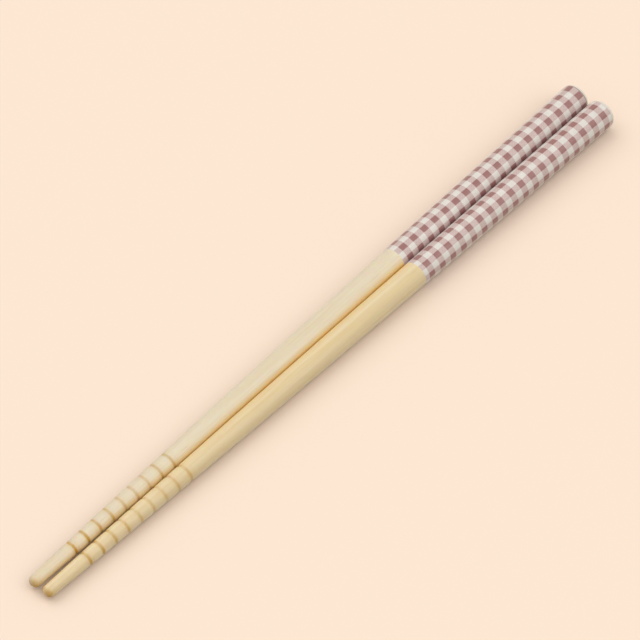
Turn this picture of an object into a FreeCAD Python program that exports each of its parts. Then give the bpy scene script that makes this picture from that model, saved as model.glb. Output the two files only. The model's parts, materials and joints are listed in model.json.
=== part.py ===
import FreeCAD, Part
import math
import os

# A pair of turned wooden chopsticks, lying side by side with their tips towards -X.
# Each stick is one piece of wood: a round, gently bellied taper from a fine tip to a
# thick grip, with ring grooves behind the tip, a domed tip and a rounded butt.
# The upper third carries a thin printed film, which stands a hair proud of the wood.
# Millimetres, +X from the tips to the butts, +Y to the left stick, +Z up.

# Turned body: diameters at the tip, one third along, two thirds along, and at the butt
stick_length = 210.0
tip_diameter = 3.2
lower_diameter = 5.7
upper_diameter = 7.1
butt_diameter = 8.0

# Rounding of the two end edges
tip_rounding = 1.4
butt_rounding = 1.7

# Ring grooves, cut with a pointed tool, that keep food from slipping
groove_count = 9
first_groove = 14.0
groove_pitch = 4.36
groove_width = 0.8
groove_depth = 0.15

# Printed film round the grip, from its edge to the butt
film_length = 75.0
film_thickness = 0.04

# The two sticks come closest at this station, with a hair of free space
meeting_station = 105.0
side_clearance = 0.06

tip_radius = tip_diameter / 2
lower_radius = lower_diameter / 2
upper_radius = upper_diameter / 2
butt_radius = butt_diameter / 2
last_groove = first_groove + (groove_count - 1) * groove_pitch
film_start = stick_length - film_length
# The outline between grooves and film comes in two spans, which keeps its facets few and long
belly = (last_groove + film_start) / 2

along = FreeCAD.Vector(1, 0, 0)


def body_curve(lift=0.0):
    """Cubic outline through the four diameters, raised off the wood by lift."""
    lower_pole = (18 * lower_radius - 9 * upper_radius - 5 * tip_radius + 2 * butt_radius) / 6
    upper_pole = (18 * upper_radius - 9 * lower_radius - 5 * butt_radius + 2 * tip_radius) / 6
    radii = (tip_radius, lower_pole, upper_pole, butt_radius)
    spacing = stick_length / (len(radii) - 1)
    curve = Part.BezierCurve()
    curve.setPoles([FreeCAD.Vector(i * spacing, radius + lift, 0) for i, radius in enumerate(radii)])
    return curve


def body_stretch(start, end, lift=0.0):
    """The part of the outline between two stations along the stick."""
    curve = body_curve(lift)
    curve.segment(start / stick_length, end / stick_length)
    return curve


def body_radius(station):
    """Radius of the bare wood at a station."""
    return body_curve().value(station / stick_length).y


def body_slope(station):
    """Growth of the wood's radius along the stick at a station."""
    tangent = body_curve().tangent(station / stick_length)[0]
    return tangent.y / tangent.x


def end_arc(end, inward, rounding, lift=0.0):
    """Arc that leads from the flat end of a stick, tangent to both, into the body's outline."""
    half_angle = math.atan(body_slope(end + inward * rounding))
    station = end + inward * rounding * (1 - inward * math.sin(half_angle))
    joining = FreeCAD.Vector(station, body_radius(station) + lift, 0)
    centre = FreeCAD.Vector(end + inward * rounding, joining.y - rounding * math.cos(half_angle), 0)
    from_end = FreeCAD.Vector(-inward, 0, 0)
    halfway = (from_end + (joining - centre) / rounding).normalize()
    return Part.Arc(centre + from_end * rounding, centre + halfway * rounding, joining)


def revolved(outline):
    """Solid made by turning a closed outline about the stick's axis."""
    edges = [piece.toShape() for piece in outline]
    return Part.Face(Part.Wire(edges)).revolve(FreeCAD.Vector(), along, 360)


def turned_body():
    """Domed tip, bare wood, the film's small step, the printed grip and the rounded butt."""
    tip_arc = end_arc(0.0, +1, tip_rounding)
    butt_arc = end_arc(stick_length, -1, butt_rounding, film_thickness)
    front = body_stretch(tip_arc.EndPoint.x, belly)
    middle = body_stretch(belly, film_start)
    printed = body_stretch(film_start, butt_arc.EndPoint.x, film_thickness)
    tip_centre = FreeCAD.Vector(0, 0, 0)
    butt_centre = FreeCAD.Vector(stick_length, 0, 0)
    return revolved([
        Part.LineSegment(tip_centre, tip_arc.StartPoint),
        tip_arc,
        front,
        middle,
        Part.LineSegment(middle.EndPoint, printed.StartPoint),
        printed,
        butt_arc,
        Part.LineSegment(butt_arc.StartPoint, butt_centre),
        Part.LineSegment(butt_centre, tip_centre),
    ])


def groove_cutter(station):
    """Ring with a pointed inner edge that leaves one groove at this station."""
    surface = body_radius(station)
    bottom = FreeCAD.Vector(station, surface - groove_depth, 0)
    tip_side = FreeCAD.Vector(station - groove_width, surface + groove_depth, 0)
    butt_side = FreeCAD.Vector(station + groove_width, surface + groove_depth, 0)
    return revolved([
        Part.LineSegment(bottom, butt_side),
        Part.LineSegment(butt_side, tip_side),
        Part.LineSegment(tip_side, bottom),
    ])


def chopstick():
    """One finished stick in its own frame, its axis on X and its tip at the origin."""
    stick = turned_body()
    for number in range(groove_count):
        stick = stick.cut(groove_cutter(first_groove + number * groove_pitch))
    return stick.Solids[0]


def laid_down(stick, side):
    """Lay a stick on the floor, level where it balances and nearest its neighbour where they meet."""
    rise = math.sin(math.atan(body_slope(stick.CenterOfMass.x)))
    spread = math.sin(math.atan(body_slope(meeting_station)))
    axis = FreeCAD.Vector(math.sqrt(1 - rise ** 2 - spread ** 2), side * spread, rise)
    placed = stick.copy()
    placed.Placement = FreeCAD.Placement(FreeCAD.Vector(), FreeCAD.Rotation(along, axis))
    box = placed.optimalBoundingBox()
    inner_side = box.YMin if side > 0 else box.YMax
    sideways = side * side_clearance / 2 - inner_side
    placed.translate(FreeCAD.Vector(-box.Center.x, sideways, -box.ZMin))
    return placed


def main():
    os.makedirs("parts", exist_ok=True)
    stick = chopstick()
    for name, side in (("left_chopstick", +1), ("right_chopstick", -1)):
        laid_down(stick, side).exportStep(f"parts/{name}.step")


main()
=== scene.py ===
import json
import math

import bpy
import numpy as np
from bpy.props import FloatProperty, FloatVectorProperty, IntProperty, PointerProperty
from mathutils import Matrix, Vector


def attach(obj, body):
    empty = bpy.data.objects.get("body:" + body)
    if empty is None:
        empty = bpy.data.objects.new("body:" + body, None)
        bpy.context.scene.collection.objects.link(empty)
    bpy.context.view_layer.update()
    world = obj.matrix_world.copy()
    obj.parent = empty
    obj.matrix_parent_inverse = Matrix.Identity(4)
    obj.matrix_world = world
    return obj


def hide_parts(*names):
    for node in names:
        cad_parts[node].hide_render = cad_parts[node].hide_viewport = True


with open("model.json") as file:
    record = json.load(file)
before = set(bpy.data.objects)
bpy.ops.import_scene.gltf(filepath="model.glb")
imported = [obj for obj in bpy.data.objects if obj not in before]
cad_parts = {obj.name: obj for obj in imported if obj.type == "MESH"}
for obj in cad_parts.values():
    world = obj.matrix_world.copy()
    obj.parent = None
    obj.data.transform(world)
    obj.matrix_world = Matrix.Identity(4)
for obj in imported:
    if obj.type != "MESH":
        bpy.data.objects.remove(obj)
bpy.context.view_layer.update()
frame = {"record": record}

bl_info = {
    "name": "Printed Chopsticks",
    "version": (1, 0, 0),
    "blender": (4, 5, 0),
    "location": "View3D > Sidebar > Chopsticks",
    "description": "Builds a pair of turned, lacquered chopsticks with a gingham printed grip",
    "category": "Add Mesh",
}

MM = 0.001
BODY = "root"

# Facets round a stick
SEGMENTS = 112

# Half the width of a groove's raised cosine, in groove widths. More than 0.5 rounds the lips.
GROOVE_REACH = 0.65

# How far the film's edge is blended along the stick, in mm
FILM_RAMP = 0.12

# Moves each stick's grain, in mm, so that the two differ
GRAIN_SHIFT = {"left": 0.0, "right": 37.0}

# How strongly amber lacquer has gathered in each groove, from the tip
GROOVE_STAINS = (1.0, 0.95, 0.8, 0.7, 0.52, 0.49, 0.44, 0.6, 0.66)

# Half the width of the amber bell across a groove, in groove widths
GROOVE_STAIN_REACH = 0.6

# Bells round each stick: the middle, from the top towards -Y, and the width, both in degrees,
# then the strength and the power. The groove top light bells take amber off the tops of the grooves, as
# painted light. The bells where the sticks touch paint a narrow amber shade, the bounce bells paint warm
# bounced light on the side that faces the other stick, and the shade and streak bells paint shade on the
# right stick's front under its top, darken the left stick's underside and add two thin grain streaks on
# the left.
GROOVE_TOP_LIGHT_BELLS = {"left": [(5, 25, 0.15, 2)], "right": [(0, 42, 0.4, 2)]}
SEAM_SHADE_BELLS = {"left": [(90, 15, 1.0, 2)], "right": [(-90, 15, 1.0, 2)]}
PAINTED_BOUNCE_BELLS = {"left": [(90, 26, 1.0, 2)], "right": [(-90, 52, 0.9, 2)]}
SHADE_AND_STREAK_BELLS = {
    "left": [(180, 50, 1.0, 2), (-9, 7, 0.35, 2), (31, 7, 0.25, 2)],
    "right": [(40, 36, 1.0, 4)],
}


def colour(name, description, value):
    """A colour property, linear RGB."""
    return FloatVectorProperty(
        name=name, description=description, subtype="COLOR", size=3, min=0.0, max=1.0, default=value
    )


def length(name, description, value):
    """A length property in metres, given in millimetres."""
    return FloatProperty(
        name=name,
        description=description,
        subtype="DISTANCE",
        unit="LENGTH",
        precision=5,
        default=value * MM,
    )


def angle(name, description, value):
    """An angle property in radians, given in degrees."""
    return FloatProperty(
        name=name, description=description, subtype="ANGLE", unit="ROTATION", default=math.radians(value)
    )


def share(name, description, value):
    """A property from 0 to 1."""
    return FloatProperty(
        name=name, description=description, subtype="FACTOR", min=0.0, max=1.0, default=value
    )


def strength(name, description, value):
    """A light's strength."""
    return FloatProperty(name=name, description=description, min=0.0, default=value)


def direction(name, description, value):
    """A direction property, of any length."""
    return FloatVectorProperty(
        name=name, description=description, subtype="DIRECTION", size=3, default=value
    )


class StickSizes(bpy.types.PropertyGroup):
    """Sizes of one turned stick."""

    stick_length: length("Length", "From the tip to the butt", 210.0)
    tip_diameter: length("Tip", "Diameter at the tip", 3.2)
    lower_diameter: length("Lower third", "Diameter one third along", 5.7)
    upper_diameter: length("Upper third", "Diameter two thirds along", 7.1)
    butt_diameter: length("Butt", "Diameter at the butt", 8.0)
    tip_rounding: length("Tip rounding", "Radius of the edge at the tip", 1.4)
    butt_rounding: length("Butt rounding", "Radius of the edge at the butt", 1.7)
    groove_count: IntProperty(name="Grooves", description="Ring grooves behind the tip", default=9, min=0)
    first_groove: length("First groove", "From the tip to the first groove", 14.0)
    groove_pitch: length("Groove pitch", "From one groove to the next", 4.36)
    groove_width: length("Groove width", "Across the lips of a groove", 0.8)
    groove_depth: length("Groove depth", "From the wood's surface down", 0.15)
    film_length: length("Film", "Printed length, from the butt", 75.0)
    film_thickness: length("Film thickness", "How far the film stands off the wood", 0.04)


class PrintPattern(bpy.types.PropertyGroup):
    """The gingham on the film."""

    left_pitch: length("Left pitch", "From one dark column to the next on the left stick", 4.1)
    right_pitch: length("Right pitch", "From one dark column to the next on the right stick", 4.05)
    left_first: length("Left first", "Film's edge to the first dark column, left stick", 2.65)
    right_first: length("Right first", "Film's edge to the first dark column, right stick", 2.4)
    rows: IntProperty(name="Rows", description="Dark rows round the stick", default=7, min=1)
    left_turn: angle("Left turn", "Middle of a dark row on the left stick, from the top", 11.0)
    right_turn: angle("Right turn", "Middle of a dark row on the right stick, from the top", 25.2)
    left_drift: angle("Left drift", "How far the rows turn along the left stick's film", 20.0)
    right_drift: angle("Right drift", "How far the rows turn along the right stick's film", 14.0)
    print_end: length("Print end", "From the film's edge to where the print is trimmed", 73.6)
    left_trim: share("Left trim", "How clearly the trimmed edge shows on the left stick", 0.85)
    right_trim: share("Right trim", "How clearly the trimmed edge shows on the right stick", 0.2)
    trim: colour("Trim", "The print's trimmed edge", (0.25, 0.16, 0.12))
    dark: colour("Dark check", "Where two dyed stripes cross", (0.315, 0.15, 0.145))
    middle: colour("Middle check", "One dyed stripe on white", (0.58, 0.455, 0.43))
    pale: colour("Pale check", "Undyed ground", (0.725, 0.7, 0.65))


class WoodFinish(bpy.types.PropertyGroup):
    """Colours of the wood and its lacquer, where the lacquer has gathered, and the painted shade and
    bounce light.
    """

    left_pale: colour("Left pale", "Early wood of the left stick", (0.755, 0.69, 0.54))
    left_warm: colour("Left warm", "Late wood of the left stick", (0.705, 0.605, 0.415))
    right_pale: colour("Right pale", "Early wood of the right stick", (0.77, 0.675, 0.475))
    right_warm: colour("Right warm", "Late wood of the right stick", (0.715, 0.562, 0.305))
    pore: colour("Pore", "Short dark fibres", (0.42, 0.27, 0.11))
    # Amber also paints shade where the sticks touch and on the tip's lower side.
    amber: colour("Amber", "Lacquer gathered in grooves and on the tip", (0.53, 0.3, 0.012))
    # Painted bounce light: a warm tint on the side that faces the other stick, thinner towards the left
    # stick's tip.
    honey: colour("Honey", "Lacquer on the side that faces the other stick", (0.97, 0.67, 0.22))
    # Painted shade on the right stick's front under its top, a darker underside on the left stick, and
    # two grain streaks on the left.
    heart: colour("Heart side", "Side of a blank nearer the heart of the tree", (0.68, 0.525, 0.27))
    end_wood: colour("End wood", "Cut end of the butt", (0.62, 0.47, 0.26))
    tip_reach: length("Tip reach", "How far the amber on the tip reaches", 1.3)
    tip_even: share("Tip even", "How strong the tip's amber is on average", 0.7)
    # Painted shade: the tip's amber varies round the stick and is strongest on its lower side.
    tip_uneven: share("Tip uneven", "How much the tip's amber varies round the stick", 0.5)
    tip_turn: angle("Tip turn", "Where the tip's amber is strongest, from the top", 120.0)
    # Painted shade where the sticks touch, in amber, growing from the tip towards the butt.
    seam: share("Seam", "How strong the amber is where the sticks touch", 0.95)
    seam_start: length("Seam start", "From the tip to where the seam's amber starts", 40.0)
    seam_full: length("Seam full", "From the tip to where the seam's amber is strongest", 85.0)
    honey_full: length("Honey full", "From the tip to where the left stick's honey is strongest", 90.0)
    honey_least: share("Least honey", "Share of the left stick's honey that its tip has", 0.35)


class StageSettings(bpy.types.PropertyGroup):
    """Camera, floor and light."""

    azimuth: angle("Azimuth", "Round the object, from straight in front", -49.185)
    elevation: angle("Elevation", "Above the floor", 48.995)
    distance: length("Distance", "From the camera to the pair", 1170.6)
    lens: FloatProperty(name="Lens", description="Focal length in millimetres", default=264.3, min=1.0)
    aim_right: length("Aim right", "How far right of the pair's middle the camera points", -1.764)
    aim_up: length("Aim up", "How far above the pair's middle the camera points", 4.088)
    floor: colour("Floor", "Plain pale floor", (0.925, 0.766, 0.635))
    bounce: colour("Bounce", "The floor's colour in the light that it throws back", (0.41, 0.36, 0.29))
    key: strength("Key", "Strength of the wide light from behind", 0.87)
    key_from: direction("Key from", "Where the light from behind stands", (-0.1, 0.55, 0.9))
    fill: strength("Fill", "Strength of the wide light from the front", 0.92)
    fill_from: direction("Fill from", "Where the light from the front stands", (0.1, -0.6, 0.85))
    spread: angle("Spread", "How wide both lights are, seen from the pair", 60.0)
    sky: strength("Sky", "Strength of the even light all round", 0.59)
    sky_tint: colour("Sky tint", "Colour of the even light all round", (1.0, 0.97, 0.93))
    backdrop: colour("Backdrop", "What shows beyond the floor", (0.982, 0.799, 0.645))


def outline(sizes):
    """Stations and radii of a stick's outline, the grooves' stations and the film's start, in mm.

    It runs from the tip's middle to the butt's. The body is a cubic in the station through
    four diameters. A raised cosine is taken off it at each groove, and a smooth step is added
    where the film starts. Each end is a quarter arc, tangent to the flat end and to the body.
    """
    total = sizes.stick_length / MM
    tip, lower, upper, butt = (
        getattr(sizes, f"{name}_diameter") / MM / 2 for name in ("tip", "lower", "upper", "butt")
    )
    lower_pole = (18 * lower - 9 * upper - 5 * tip + 2 * butt) / 6
    upper_pole = (18 * upper - 9 * lower - 5 * butt + 2 * tip) / 6
    film_start = total - sizes.film_length / MM
    film = sizes.film_thickness / MM
    grooves = sizes.first_groove / MM + np.arange(sizes.groove_count) * sizes.groove_pitch / MM
    groove_reach = GROOVE_REACH * sizes.groove_width / MM
    arc_points, groove_points, ramp_points, body_points = 15, 15, 5, 130
    tip_rings, butt_rings, least_gap = 4, 8, 0.1

    def wood(station):
        t = station / total
        return (
            (1 - t) ** 3 * tip
            + 3 * (1 - t) ** 2 * t * lower_pole
            + 3 * (1 - t) * t ** 2 * upper_pole
            + t ** 3 * butt
        )

    def slope(station):
        t = station / total
        rise = (
            (1 - t) ** 2 * (lower_pole - tip)
            + 2 * (1 - t) * t * (upper_pole - lower_pole)
            + t ** 2 * (butt - upper_pole)
        )
        return 3 * rise / total

    def end_arc(end, inward, rounding, lift):
        tilt = math.atan(slope(end + inward * rounding))
        joint = end + inward * rounding * (1 - inward * math.sin(tilt))
        middle = end + inward * rounding
        height = wood(joint) + lift - rounding * math.cos(tilt)
        turn = np.linspace(0, math.pi / 2 + inward * tilt, arc_points)
        return joint, middle - inward * rounding * np.cos(turn), height + rounding * np.sin(turn)

    tip_joint, tip_x, tip_y = end_arc(0.0, +1, sizes.tip_rounding / MM, 0.0)
    butt_joint, butt_x, butt_y = end_arc(total, -1, sizes.butt_rounding / MM, film)

    across_grooves = (grooves[:, None] + np.linspace(-groove_reach, groove_reach, groove_points)).ravel()
    film_edge = film_start + np.linspace(0, FILM_RAMP, ramp_points)
    body = np.linspace(tip_joint, butt_joint, body_points)[1:-1]
    nearest = np.abs(body[:, None] - np.append(grooves, film_start)).min(axis=1)
    body = body[nearest > groove_reach + least_gap]
    body = np.sort(np.concatenate([body, across_grooves, film_edge]))
    radius = wood(body)
    away = (body[:, None] - grooves) / groove_reach
    bite = np.where(np.abs(away) < 1, 0.5 + 0.5 * np.cos(math.pi * away), 0).sum(axis=1)
    radius -= sizes.groove_depth / MM * bite
    ramp = np.clip((body - film_start) / FILM_RAMP, 0, 1)
    radius += film * ramp * ramp * (3 - 2 * ramp)

    tip_flat = np.linspace(0, tip_y[0], tip_rings)[:-1]
    butt_flat = np.linspace(butt_y[0], 0, butt_rings)[1:]
    stations = np.concatenate([0 * tip_flat, tip_x, body, butt_x[::-1], 0 * butt_flat + total])
    radii = np.concatenate([tip_flat, tip_y, radius, butt_y[::-1], butt_flat])
    return stations, radii, grooves, film_start


def round_bells(turns, bells):
    """Sum of bells round a stick. Each is e to minus (turn from its middle / width) to its power."""
    total = 0 * turns
    for middle, width, height, power in bells:
        off = np.angle(np.exp(1j * (turns - math.radians(middle))))
        total = total + height * np.exp(-((off / math.radians(width)) ** power))
    return total


def stains_and_painted_light(side, stations, radii, turns, grooves, sizes, finish):
    """How much amber, painted bounce light, and painted shade with grain streaks show, with a row for
    each ring and a column for each turn.

    Amber is a bell across each groove, thinner on the grooves' tops as painted light, a fade
    from the tip that is stronger on the tip's lower side than on its top, as painted shade, and a
    narrow line of painted shade where the sticks touch. Painted bounce light is a bell round the stick,
    on the side that faces its neighbour, and thins out towards the left stick's tip. Painted shade is a
    wide bell on the right stick's front under its top; the left stick is darker on its underside and
    has two thin grain streaks.
    """
    half_width = GROOVE_STAIN_REACH * sizes.groove_width / MM
    bells = np.exp(-(((stations[:, None] - grooves) / half_width) ** 4))
    in_grooves = (bells * np.resize(GROOVE_STAINS, len(grooves))).max(axis=1)
    # Painted light: less amber on the grooves' tops.
    top_lit_share = 1 - round_bells(turns, GROOVE_TOP_LIGHT_BELLS[side])

    at_tip = np.exp(-((stations / (finish.tip_reach / MM)) ** 2))
    out = np.clip(radii / (sizes.tip_diameter / MM / 2), 0, 1)
    # Painted shade: more of the tip's amber on its lower side.
    uneven = finish.tip_uneven * out[:, None] * np.cos(turns - finish.tip_turn)
    tip_amber_and_shade = np.clip(finish.tip_even + uneven, 0, 1)

    # Painted shade: a narrow amber line where the sticks touch.
    seam_start, seam_full = finish.seam_start / MM, finish.seam_full / MM
    touching = finish.seam * np.clip((stations - seam_start) / (seam_full - seam_start), 0, 1)
    seam = touching[:, None] * round_bells(turns, SEAM_SHADE_BELLS[side])
    amber = np.maximum(in_grooves[:, None] * top_lit_share, at_tip[:, None] * tip_amber_and_shade)
    amber = np.maximum(amber, seam)

    # Painted bounce light on the side that faces the other stick.
    honey = round_bells(turns, PAINTED_BOUNCE_BELLS[side]) + 0 * amber
    if side == "left":
        honey *= np.clip(stations / (finish.honey_full / MM), finish.honey_least, 1)[:, None]
    # Painted shade on one side of each stick, and two grain streaks on the left one.
    heart = round_bells(turns, SHADE_AND_STREAK_BELLS[side]) + 0 * amber
    return {"amber": amber, "honey": honey, "heart": heart}


def stick_axis(side):
    """Butt centre and direction, tip to butt, of one stick, as its butt face states them."""
    faces = {mount["name"]: mount for mount in frame["record"]["mounts"]}
    face = faces[f"{side}_butt_face"]
    return np.array(face["pos_m"]), np.array(face["axis"])


def stick_faces(rings):
    """Corners of the quads between rings, then of the fans that close the tip and the butt."""
    i, j = np.meshgrid(np.arange(rings - 1), np.arange(SEGMENTS), indexing="ij")
    this, after = i * SEGMENTS + j, i * SEGMENTS + (j + 1) % SEGMENTS
    quads = np.stack([this, after, after + SEGMENTS, this + SEGMENTS], -1).reshape(-1, 4)
    column = np.arange(SEGMENTS)
    following = (column + 1) % SEGMENTS
    tip_fan = np.stack([np.full(SEGMENTS, rings * SEGMENTS), following, column], -1)
    last = (rings - 1) * SEGMENTS
    butt_fan = np.stack([np.full(SEGMENTS, rings * SEGMENTS + 1), last + column, last + following], -1)
    return quads.tolist() + tip_fan.tolist() + butt_fan.tolist()


def stick_uv(u):
    """UV of every face's corners, in the order of stick_faces, from the way at each station."""
    i, j = np.meshgrid(np.arange(1, len(u) - 2), np.arange(SEGMENTS), indexing="ij")
    column = np.arange(SEGMENTS)
    along = np.concatenate([
        np.stack([u[i], u[i], u[i + 1], u[i + 1]], -1).ravel(),
        np.tile([u[0], u[1], u[1]], SEGMENTS),
        np.tile([u[-1], u[-2], u[-2]], SEGMENTS),
    ])
    around = np.concatenate([
        np.stack([j, j + 1, j + 1, j], -1).ravel(),
        np.stack([column + 0.5, column + 1, column], -1).ravel(),
        np.stack([column + 0.5, column, column + 1], -1).ravel(),
    ])
    return np.stack([along, around / SEGMENTS], -1)


def face_materials(ring_s, film_start):
    """Material of every face, in the order of stick_faces: 0 wood, 1 film, 2 cut end."""
    printed = (ring_s[:-1] + ring_s[1:]) / 2 > film_start
    flat = np.abs(np.diff(ring_s)) < 1e-6
    kinds = np.where(printed, np.where(flat, 2, 1), 0)
    return np.concatenate([np.repeat(kinds, SEGMENTS), np.full(SEGMENTS, 0), np.full(SEGMENTS, 2)])


def build_stick(side, sizes, finish):
    """One stick as rings about its axis: point = tip + station * axis + radius * (cos, sin) of the turn.

    The turn starts at the top and goes towards -Y. UV is the way along the outline and the
    turn, both from 0 to 1. The attribute grain_place is the point in the stick's own frame
    in mm, and the other attributes say how much amber, painted bounce light and painted shade
    show. Returns the stick, and the way to the butt's middle and to the film, in mm.
    """
    stations, radii, grooves, film_start = outline(sizes)
    ring_s, ring_r = stations[1:-1], radii[1:-1]
    turns = np.arange(SEGMENTS) * 2 * math.pi / SEGMENTS
    way = np.concatenate([[0], np.cumsum(np.hypot(np.diff(stations), np.diff(radii)))])

    butt, axis = stick_axis(side)
    axis = axis / np.linalg.norm(axis)
    tip = butt - axis * sizes.stick_length
    up = np.array([0.0, 0.0, 1.0]) - axis[2] * axis
    up /= np.linalg.norm(up)
    front = np.cross(axis, up)
    circle = np.outer(np.cos(turns), up) + np.outer(np.sin(turns), front)
    body = tip + ring_s[:, None, None] * MM * axis + ring_r[:, None, None] * MM * circle
    points = np.concatenate([body.reshape(-1, 3), [tip], [butt]])

    mesh = bpy.data.meshes.new(f"{side}_stick")
    faces = stick_faces(len(ring_s))
    mesh.from_pydata(points.tolist(), [], faces)
    mesh.uv_layers.new(name="wrap").data.foreach_set("uv", stick_uv(way / way[-1]).ravel())
    mesh.polygons.foreach_set("material_index", face_materials(ring_s, film_start).astype(np.int32))
    mesh.polygons.foreach_set("use_smooth", np.ones(len(faces), dtype=bool))

    stain_and_light_masks = stains_and_painted_light(side, stations, radii, turns, grooves, sizes, finish)
    for name, mask in stain_and_light_masks.items():
        values = np.concatenate([mask[1:-1].ravel(), mask[[0, -1]].mean(axis=1)])
        mesh.attributes.new(name, "FLOAT", "POINT").data.foreach_set("value", values)
    own_x = np.concatenate([np.repeat(ring_s, SEGMENTS), [0, sizes.stick_length / MM]])
    own_y = np.concatenate([np.outer(ring_r, np.cos(turns)).ravel(), [0, 0]])
    own_z = np.concatenate([np.outer(ring_r, np.sin(turns)).ravel(), [0, 0]])
    own = np.stack([own_x, own_y + GRAIN_SHIFT[side], own_z + GRAIN_SHIFT[side]], -1)
    mesh.attributes.new("grain_place", "FLOAT_VECTOR", "POINT").data.foreach_set("vector", own.ravel())
    mesh.update()

    stick = bpy.data.objects.new(f"{side}_stick", mesh)
    bpy.context.collection.objects.link(stick)
    return stick, way[-1], float(np.interp(film_start, ring_s, way[1:-1]))


class Graph:
    """A node tree being filled. Inputs go by name or number, with a value or a socket to link."""

    def __init__(self, tree):
        self.tree = tree

    def feed(self, socket, value):
        """Link another socket to this one, or write a value on it."""
        if isinstance(value, bpy.types.NodeSocket):
            self.tree.links.new(value, socket)
        else:
            socket.default_value = value

    def add(self, kind, inputs=None, **settings):
        """Place a node, set it up, and return it."""
        node = self.tree.nodes.new(kind)
        for name, value in settings.items():
            setattr(node, name, value)
        for name, value in (inputs or {}).items():
            self.feed(node.inputs[name], value)
        return node

    def math(self, operation, *values):
        """Result of a Math node."""
        return self.add("ShaderNodeMath", dict(enumerate(values)), operation=operation).outputs[0]

    def mix(self, factor, first, second, blend="MIX"):
        """Blend of two colours, each a socket or a tuple of three values."""
        pair = [(*c, 1.0) if isinstance(c, tuple) else c for c in (first, second)]
        # A Mix node's colours go in at 6 and 7 and come out at 2
        inputs = dict(zip((0, 6, 7), (factor, *pair)))
        return self.add("ShaderNodeMix", inputs, data_type="RGBA", blend_type=blend).outputs[2]

    def ramp(self, value, low, high, start=0.0, end=1.0):
        """Smooth step of a value from start at low to end at high."""
        node = self.add(
            "ShaderNodeMapRange",
            {"Value": value, "From Min": low, "From Max": high, "To Min": start, "To Max": end},
            interpolation_type="SMOOTHSTEP",
        )
        return node.outputs[0]

    def noise(self, place, scales, detail=2.0, roughness=0.5):
        """Noise from 0 to 1 with a given number of cells per mm along each axis."""
        stretched = self.add("ShaderNodeMapping", {"Vector": place, "Scale": scales}).outputs[0]
        inputs = {"Vector": stretched, "Scale": 1.0, "Detail": detail, "Roughness": roughness}
        return self.add("ShaderNodeTexNoise", inputs).outputs["Fac"]

    def attribute(self, name):
        """Node that reads one of the stick's attributes."""
        return self.add("ShaderNodeAttribute", attribute_name=name)

    def shared(self, name, inputs):
        """Outputs of a node that runs one of the shared groups."""
        return self.add("ShaderNodeGroup", inputs, node_tree=bpy.data.node_groups[name]).outputs


def new_group(name, inputs, outputs):
    """An empty node group with named sockets: (graph, input node, output node)."""
    tree = bpy.data.node_groups.new(name, "ShaderNodeTree")
    for socket, kind in inputs.items():
        tree.interface.new_socket(name=socket, in_out="INPUT", socket_type=kind)
    for socket, kind in outputs.items():
        tree.interface.new_socket(name=socket, in_out="OUTPUT", socket_type=kind)
    graph = Graph(tree)
    return graph, graph.add("NodeGroupInput"), graph.add("NodeGroupOutput")


def fibre_group():
    """Straight grain: long fibres, soft bands of late wood and short pores, in a stick's own frame."""
    number, vector = "NodeSocketFloat", "NodeSocketVector"
    outputs = {name: number for name in ("Band", "Fibre", "Pore", "Height")}
    graph, given, result = new_group("wood_fibres", {"Place": vector}, outputs)
    place = given.outputs["Place"]
    wander = graph.noise(place, (0.012, 0.25, 0.25), detail=1.0)
    across = graph.add("ShaderNodeSeparateXYZ", {"Vector": place}).outputs[1]
    phase = graph.math("MULTIPLY_ADD", wander, 9.0, graph.math("MULTIPLY", across, 2.6))
    band = graph.ramp(graph.math("SINE", phase), -0.9, 1.0)
    streaks = graph.noise(place, (0.03, 1.9, 1.9), detail=4.0, roughness=0.7)
    fibre = graph.ramp(streaks, 0.32, 0.68)
    specks = graph.noise(place, (0.14, 5.5, 5.5), detail=1.0)
    pore = graph.ramp(specks, 0.66, 0.76)
    raised = graph.math("MULTIPLY", fibre, 0.5)
    height = graph.math("SUBTRACT", raised, graph.math("MULTIPLY", pore, 0.6))
    for name, socket in (("Band", band), ("Fibre", fibre), ("Pore", pore), ("Height", height)):
        graph.feed(result.inputs[name], socket)


def lacquer_group():
    """Clear lacquer: faint orange peel, rare dust nibs, and rubbing that dulls it along the stick."""
    number, vector = "NodeSocketFloat", "NodeSocketVector"
    graph, given, result = new_group(
        "clear_lacquer", {"Place": vector, "Gloss": number}, {"Roughness": number, "Height": number}
    )
    place = given.outputs["Place"]
    peel = graph.noise(place, (0.5, 0.9, 0.9))
    dust = graph.ramp(graph.noise(place, (3.0, 3.0, 3.0), detail=0.0), 0.79, 0.84)
    rubbed = graph.noise(place, (0.06, 1.2, 1.2), detail=3.0)
    spread = graph.math("MULTIPLY", graph.math("SUBTRACT", rubbed, 0.5), 0.22)
    roughness = graph.math("ADD", given.outputs["Gloss"], spread)
    height = graph.math("ADD", graph.math("MULTIPLY", peel, 0.8), graph.math("MULTIPLY", dust, 0.5))
    graph.feed(result.inputs["Roughness"], graph.math("MAXIMUM", roughness, 0.05))
    graph.feed(result.inputs["Height"], height)


def stripe_group():
    """One set of dyed stripes: 1 in the middle of each dark stripe, 0 between, with a soft edge.

    Position counts in periods, and each whole number is the middle of a stripe.
    """
    number = "NodeSocketFloat"
    graph, given, result = new_group(
        "dyed_stripes", {"Position": number, "Softness": number}, {"Stripe": number}
    )
    wave = graph.math("COSINE", graph.math("MULTIPLY", given.outputs["Position"], 2 * math.pi))
    soft = given.outputs["Softness"]
    stripe = graph.ramp(wave, graph.math("MULTIPLY", soft, -1.0), soft)
    graph.feed(result.inputs["Stripe"], stripe)


def new_material(name):
    """An empty material with a Principled shader on its output: (material, graph, shader)."""
    material = bpy.data.materials.new(name)
    material.use_nodes = True
    material.node_tree.nodes.clear()
    graph = Graph(material.node_tree)
    shader = graph.add("ShaderNodeBsdfPrincipled")
    graph.add("ShaderNodeOutputMaterial", {"Surface": shader.outputs[0]})
    return material, graph, shader


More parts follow.
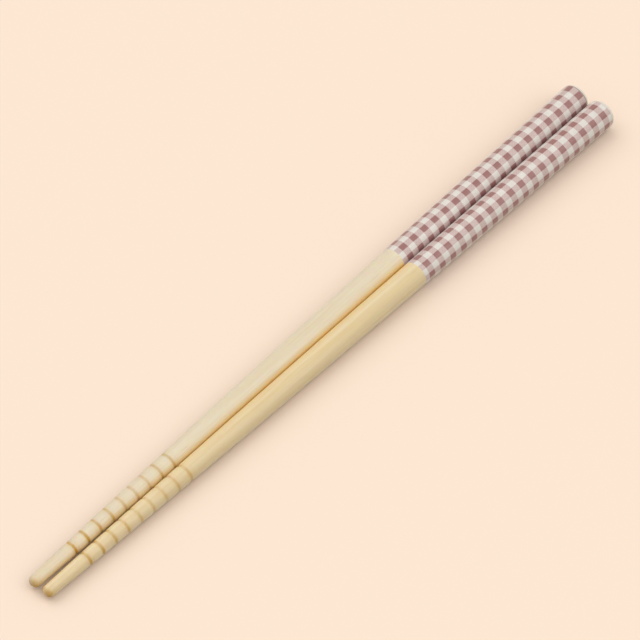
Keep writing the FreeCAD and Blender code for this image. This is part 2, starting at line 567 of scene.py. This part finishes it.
def own_place(graph):
    """The point in the stick's own frame, in mm."""
    return graph.attribute("grain_place").outputs["Vector"]


def set_values(shader, values):
    """Write uniform values on the shader's own sockets."""
    for name, value in values.items():
        shader.inputs[name].default_value = value


def finish_surface(graph, shader, base, roughness, height, depth_mm):
    """Wire colour, roughness and a bump of the given depth into the shader."""
    bump = graph.add("ShaderNodeBump", {"Strength": 1.0, "Distance": depth_mm * MM, "Height": height})
    graph.feed(shader.inputs["Base Color"], base)
    graph.feed(shader.inputs["Roughness"], roughness)
    graph.feed(shader.inputs["Normal"], bump.outputs[0])


def wood_material(side, finish):
    """Pale straight-grained wood under lacquer, with amber gathered in grooves and on the tip, painted
    shade and painted bounce light.
    """
    material, graph, shader = new_material(f"{side}_lacquered_wood")
    pale, warm = (tuple(getattr(finish, f"{side}_{tone}")) for tone in ("pale", "warm"))
    place = own_place(graph)
    grain = graph.shared("wood_fibres", {"Place": place})
    lacquer = graph.shared("clear_lacquer", {"Place": place, "Gloss": 0.36})

    band_share, fibre_share, pore_share, shade_and_streak_share = 0.35, 0.62, 0.22, 0.5
    banded = graph.math("MULTIPLY", grain["Band"], band_share)
    tone = graph.math("ADD", banded, graph.math("MULTIPLY", grain["Fibre"], fibre_share))
    wood = graph.mix(tone, pale, warm)
    wood = graph.mix(graph.math("MULTIPLY", grain["Pore"], pore_share), wood, tuple(finish.pore))
    # Painted shade on one side, with two grain streaks on the left stick.
    heart = graph.math("MULTIPLY", graph.attribute("heart").outputs["Fac"], shade_and_streak_share)
    wood = graph.mix(heart, wood, tuple(finish.heart))
    # Painted bounce light on the side that faces the other stick.
    wood = graph.mix(graph.attribute("honey").outputs["Fac"], wood, tuple(finish.honey))
    patchy = graph.ramp(graph.noise(place, (1.2, 0.5, 0.5), detail=1.0), 0.3, 0.7, 0.8, 1.0)
    # Amber, with painted shade where the sticks touch and on the tip's lower side, and less on the
    # grooves' tops as painted light.
    mask = graph.math("MULTIPLY", graph.attribute("amber").outputs["Fac"], patchy)
    wood = graph.mix(mask, wood, tuple(finish.amber))

    height = graph.math("ADD", graph.math("MULTIPLY", grain["Height"], 0.5), lacquer["Height"])
    finish_surface(graph, shader, wood, lacquer["Roughness"], height, depth_mm=0.012)
    set_values(shader, {
        "Subsurface Weight": 0.5,
        "Subsurface Radius": (0.9, 0.5, 0.16),
        "Subsurface Scale": 1.2 * MM,
        "IOR": 1.5,
        "Coat Weight": 0.35,
        "Coat Roughness": 0.16,
    })
    return material


def end_material(finish):
    """Cut end of the stick: growth rings and open pores seen end on, under the same lacquer."""
    material, graph, shader = new_material("butt_end_grain")
    place = own_place(graph)
    grain = graph.shared("wood_fibres", {"Place": place})
    lacquer = graph.shared("clear_lacquer", {"Place": place, "Gloss": 0.42})
    ringed = graph.math("MULTIPLY", grain["Band"], 0.6)
    end = graph.mix(ringed, tuple(finish.end_wood), tuple(finish.right_warm))
    dots = graph.ramp(graph.noise(place, (1.0, 7.0, 7.0), detail=0.0), 0.6, 0.68)
    end = graph.mix(graph.math("MULTIPLY", dots, 0.55), end, tuple(finish.pore))
    height = graph.math("SUBTRACT", lacquer["Height"], graph.math("MULTIPLY", dots, 0.8))
    finish_surface(graph, shader, end, lacquer["Roughness"], height, depth_mm=0.02)
    set_values(shader, {"Coat Weight": 0.2, "Coat Roughness": 0.25})
    return material


def print_material(side, pattern, sizes, way_total, film_way):
    """Gingham film: dyed columns along the way, dyed rows round it, fine threads and a thin gloss."""
    material, graph, shader = new_material(f"{side}_gingham_film")
    pitch, first, turn, drift, trim = (
        getattr(pattern, f"{side}_{name}") for name in ("pitch", "first", "turn", "drift", "trim")
    )
    place = own_place(graph)
    uv = graph.add("ShaderNodeUVMap", uv_map="wrap").outputs[0]
    parts = graph.add("ShaderNodeSeparateXYZ", {"Vector": uv})
    along = graph.math("SUBTRACT", graph.math("MULTIPLY", parts.outputs[0], way_total), film_way)
    column_at = graph.math("DIVIDE", graph.math("SUBTRACT", along, first / MM), pitch / MM)
    rows_per_radian = pattern.rows / (2 * math.pi)
    drift_per_mm = drift * rows_per_radian / (sizes.film_length / MM)
    around = graph.math("MULTIPLY", parts.outputs[1], float(pattern.rows))
    row_at = graph.math("SUBTRACT", around, turn * rows_per_radian)
    row_at = graph.math("SUBTRACT", row_at, graph.math("MULTIPLY", along, drift_per_mm))

    uneven = graph.math("SUBTRACT", graph.noise(place, (0.8, 0.8, 0.8)), 0.5)
    wobble = graph.math("MULTIPLY", uneven, 0.05)
    before_end = graph.math("LESS_THAN", along, pattern.print_end / MM)

    def stripes(at):
        """Stripes across one direction, up to where the print is trimmed."""
        inputs = {"Position": graph.math("ADD", at, wobble), "Softness": 0.16}
        return graph.math("MULTIPLY", graph.shared("dyed_stripes", inputs)["Stripe"], before_end)

    columns, rows = stripes(column_at), stripes(row_at)
    both = graph.math("MULTIPLY", columns, rows)
    either = graph.math("MAXIMUM", columns, rows)
    ground = graph.mix(either, tuple(pattern.pale), tuple(pattern.middle))
    dyed = graph.mix(both, ground, tuple(pattern.dark))

    threads_per_period = 6
    warp = graph.math("SINE", graph.math("MULTIPLY", row_at, 2 * math.pi * threads_per_period))
    weft = graph.math("SINE", graph.math("MULTIPLY", column_at, 2 * math.pi * threads_per_period))
    threads = graph.math("MULTIPLY", warp, weft)
    contrast = graph.math("MULTIPLY_ADD", graph.math("SUBTRACT", either, both), 0.09, 0.03)
    faded = graph.ramp(graph.noise(place, (0.7, 0.7, 0.7), detail=3.0), 0.2, 0.8, 0.95, 1.03)
    shade = graph.math("MULTIPLY_ADD", threads, contrast, faded)
    grey = graph.add("ShaderNodeCombineColor", {"Red": shade, "Green": shade, "Blue": shade}).outputs[0]
    dyed = graph.mix(1.0, dyed, grey, "MULTIPLY")
    from_trim = graph.math("ABSOLUTE", graph.math("SUBTRACT", along, pattern.print_end / MM))
    dyed = graph.mix(graph.ramp(from_trim, 0.08, 0.25, trim, 0.0), dyed, tuple(pattern.trim))

    grain = graph.shared("wood_fibres", {"Place": place})
    lacquer = graph.shared("clear_lacquer", {"Place": place, "Gloss": 0.3})
    through = graph.math("ADD", lacquer["Height"], graph.math("MULTIPLY", grain["Fibre"], 0.3))
    height = graph.math("ADD", through, graph.math("MULTIPLY", threads, 0.05))
    finish_surface(graph, shader, dyed, lacquer["Roughness"], height, depth_mm=0.012)
    set_values(shader, {"IOR": 1.5, "Coat Weight": 0.2, "Coat Roughness": 0.12})
    return material


class CHOPSTICKS_OT_sticks(bpy.types.Operator):
    """Build the two turned sticks with their lacquer and printed film"""

    bl_idname = "chopsticks.sticks"
    bl_label = "Sticks"

    def execute(self, context):
        settings = context.scene
        sizes, pattern, finish = settings.stick_sizes, settings.print_pattern, settings.wood_finish
        fibre_group()
        lacquer_group()
        stripe_group()
        end = end_material(finish)
        for side in ("left", "right"):
            stick, way_total, film_way = build_stick(side, sizes, finish)
            film = print_material(side, pattern, sizes, way_total, film_way)
            for material in (wood_material(side, finish), film, end):
                stick.data.materials.append(material)
            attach(stick, BODY)
            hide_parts(f"{side}_chopstick")
        return {"FINISHED"}


def camera_axes(azimuth, elevation):
    """The camera's back, right and up directions."""
    level = math.cos(elevation)
    back = Vector((math.sin(azimuth) * level, -math.cos(azimuth) * level, math.sin(elevation)))
    right = Vector((math.cos(azimuth), math.sin(azimuth), 0.0))
    return back, right, back.cross(right)


def place_camera(stage):
    """A long lens well back, pointed a little off the pair's middle as the picture is framed."""
    back, right, up = camera_axes(stage.azimuth, stage.elevation)
    pair_middle = Vector((0.0, 0.0, 3.0 * MM))
    spot = pair_middle + back * stage.distance
    aim = pair_middle + right * stage.aim_right + up * stage.aim_up
    away = (spot - aim).normalized()
    level = Vector((0, 0, 1)).cross(away).normalized()
    turn = Matrix((level, away.cross(level), away)).transposed()
    camera = bpy.data.cameras.new("camera")
    camera.lens = stage.lens
    camera.sensor_width = 36.0
    camera.clip_start = 0.05
    camera.clip_end = 20.0
    holder = bpy.data.objects.new("camera", camera)
    holder.matrix_world = Matrix.Translation(spot) @ turn.to_4x4()
    bpy.context.collection.objects.link(holder)
    bpy.context.scene.camera = holder


def seen_ray(graph):
    """1 on rays that show the background itself: seen straight, in a gloss or through glass."""
    path = graph.add("ShaderNodeLightPath").outputs
    mirrored = graph.math("MAXIMUM", path["Is Glossy Ray"], path["Is Transmission Ray"])
    return graph.math("MAXIMUM", path["Is Camera Ray"], mirrored)


def lay_floor(stage):
    """Plain floor, one flat sheet under the sticks, which throws back less light than it shows."""
    reach = 3.0
    corners = [(-reach, -reach, 0), (reach, -reach, 0), (reach, reach, 0), (-reach, reach, 0)]
    mesh = bpy.data.meshes.new("floor")
    mesh.from_pydata(corners, [], [(0, 1, 2, 3)])
    floor = bpy.data.objects.new("floor", mesh)
    bpy.context.collection.objects.link(floor)
    material, graph, shader = new_material("pale_floor")
    shown = graph.mix(seen_ray(graph), tuple(stage.bounce), tuple(stage.floor))
    graph.feed(shader.inputs["Base Color"], shown)
    set_values(shader, {"Roughness": 0.9, "Specular IOR Level": 0.0})
    mesh.materials.append(material)


def add_sun(name, stands, energy, spread):
    """A soft sun that shines on the pair from a direction, as wide as the angle spread."""
    data = bpy.data.lights.new(name, "SUN")
    data.energy = energy
    data.angle = spread
    sun = bpy.data.objects.new(name, data)
    sun.matrix_world = Vector(stands).to_track_quat("Z", "Y").to_matrix().to_4x4()
    bpy.context.collection.objects.link(sun)


def light_stage(stage):
    """Two wide soft suns, even light all round, and the floor's colour beyond it."""
    add_sun("key", stage.key_from, stage.key, stage.spread)
    add_sun("fill", stage.fill_from, stage.fill, stage.spread)
    world = bpy.data.worlds.new("studio")
    bpy.context.scene.world = world
    world.use_nodes = True
    world.node_tree.nodes.clear()
    graph = Graph(world.node_tree)
    even = graph.add("ShaderNodeBackground", {"Color": (*stage.sky_tint, 1.0), "Strength": stage.sky})
    seen = graph.add("ShaderNodeBackground", {"Color": (*stage.backdrop, 1.0), "Strength": 1.0})
    parts = {0: seen_ray(graph), 1: even.outputs[0], 2: seen.outputs[0]}
    mixed = graph.add("ShaderNodeMixShader", parts)
    graph.add("ShaderNodeOutputWorld", {"Surface": mixed.outputs[0]})


class CHOPSTICKS_OT_stage(bpy.types.Operator):
    """Set up the floor, the soft light and the camera"""

    bl_idname = "chopsticks.stage"
    bl_label = "Stage"

    def execute(self, context):
        stage = context.scene.stage_settings
        place_camera(stage)
        lay_floor(stage)
        light_stage(stage)
        context.scene.view_settings.view_transform = "Standard"
        return {"FINISHED"}


class CHOPSTICKS_PT_panel(bpy.types.Panel):
    """Shows the sizes, colours and stage settings, and a button for each step"""

    bl_idname = "CHOPSTICKS_PT_panel"
    bl_label = "Chopsticks"
    bl_space_type = "VIEW_3D"
    bl_region_type = "UI"
    bl_category = "Chopsticks"

    def draw(self, context):
        for name, _ in SETTINGS:
            box = self.layout.box()
            group = getattr(context.scene, name)
            for prop in group.bl_rna.properties:
                if prop.identifier in group.__annotations__:
                    box.prop(group, prop.identifier)
        for operator in OPERATORS:
            self.layout.operator(operator.bl_idname)


SETTINGS = (
    ("stick_sizes", StickSizes),
    ("print_pattern", PrintPattern),
    ("wood_finish", WoodFinish),
    ("stage_settings", StageSettings),
)
OPERATORS = (CHOPSTICKS_OT_sticks, CHOPSTICKS_OT_stage)


def register():
    for name, group in SETTINGS:
        bpy.utils.register_class(group)
        setattr(bpy.types.Scene, name, PointerProperty(type=group))
    for operator in OPERATORS:
        bpy.utils.register_class(operator)
    bpy.utils.register_class(CHOPSTICKS_PT_panel)


def unregister():
    bpy.utils.unregister_class(CHOPSTICKS_PT_panel)
    for operator in reversed(OPERATORS):
        bpy.utils.unregister_class(operator)
    for name, group in reversed(SETTINGS):
        delattr(bpy.types.Scene, name)
        bpy.utils.unregister_class(group)


def main():
    register()
    bpy.ops.chopsticks.sticks()
    bpy.ops.chopsticks.stage()


if __name__ == "__main__":
    main()
